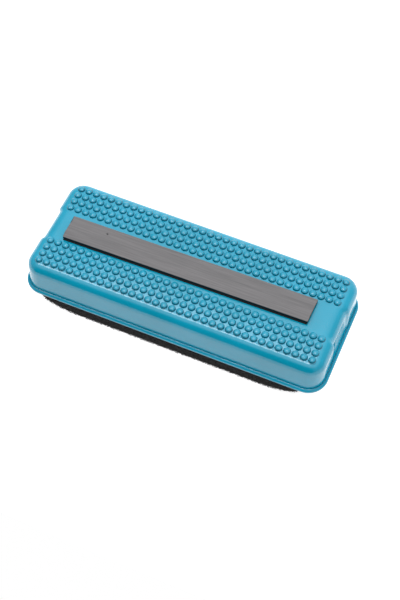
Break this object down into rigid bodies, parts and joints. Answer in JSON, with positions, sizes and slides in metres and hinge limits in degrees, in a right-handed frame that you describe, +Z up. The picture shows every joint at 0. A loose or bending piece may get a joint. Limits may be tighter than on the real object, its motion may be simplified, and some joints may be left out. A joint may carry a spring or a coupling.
{
  "type": "magnetic glass board wiper",
  "caption": "Hand-held glass wiper: a studded, round-edged casing with a magnet strip along its top and a soft pile pad with upturned ends underneath.",
  "frame": {"origin": "on the surface that the wiper lies on, under the middle of the casing", "axes": "+X along the length, +Y across it away from the front long side, +Z up through the magnet strip"},
  "size_m": [0.15, 0.059, 0.0281],
  "materials": {
    "casing": "satin moulded",
    "magnet": "calendered, cut edges",
    "tape": "foam",
    "core_foam": "moulded foam bead",
    "glue": "hot-melt",
    "board": "pressed board",
    "pad_foam": "open-cell foam",
    "cloth": "brushed pile"
  },
  "bodies": {
    "root": {"casing": "casing", "magnet_strip": "magnet", "magnet_tape": "tape", "core_block": "core_foam", "glue_bead_front": "glue", "glue_bead_rear": "glue", "backing_board": "board", "board_tape": "tape", "pad_foam": "pad_foam", "wiping_cloth": "cloth"}
  },
  "joints": []
}
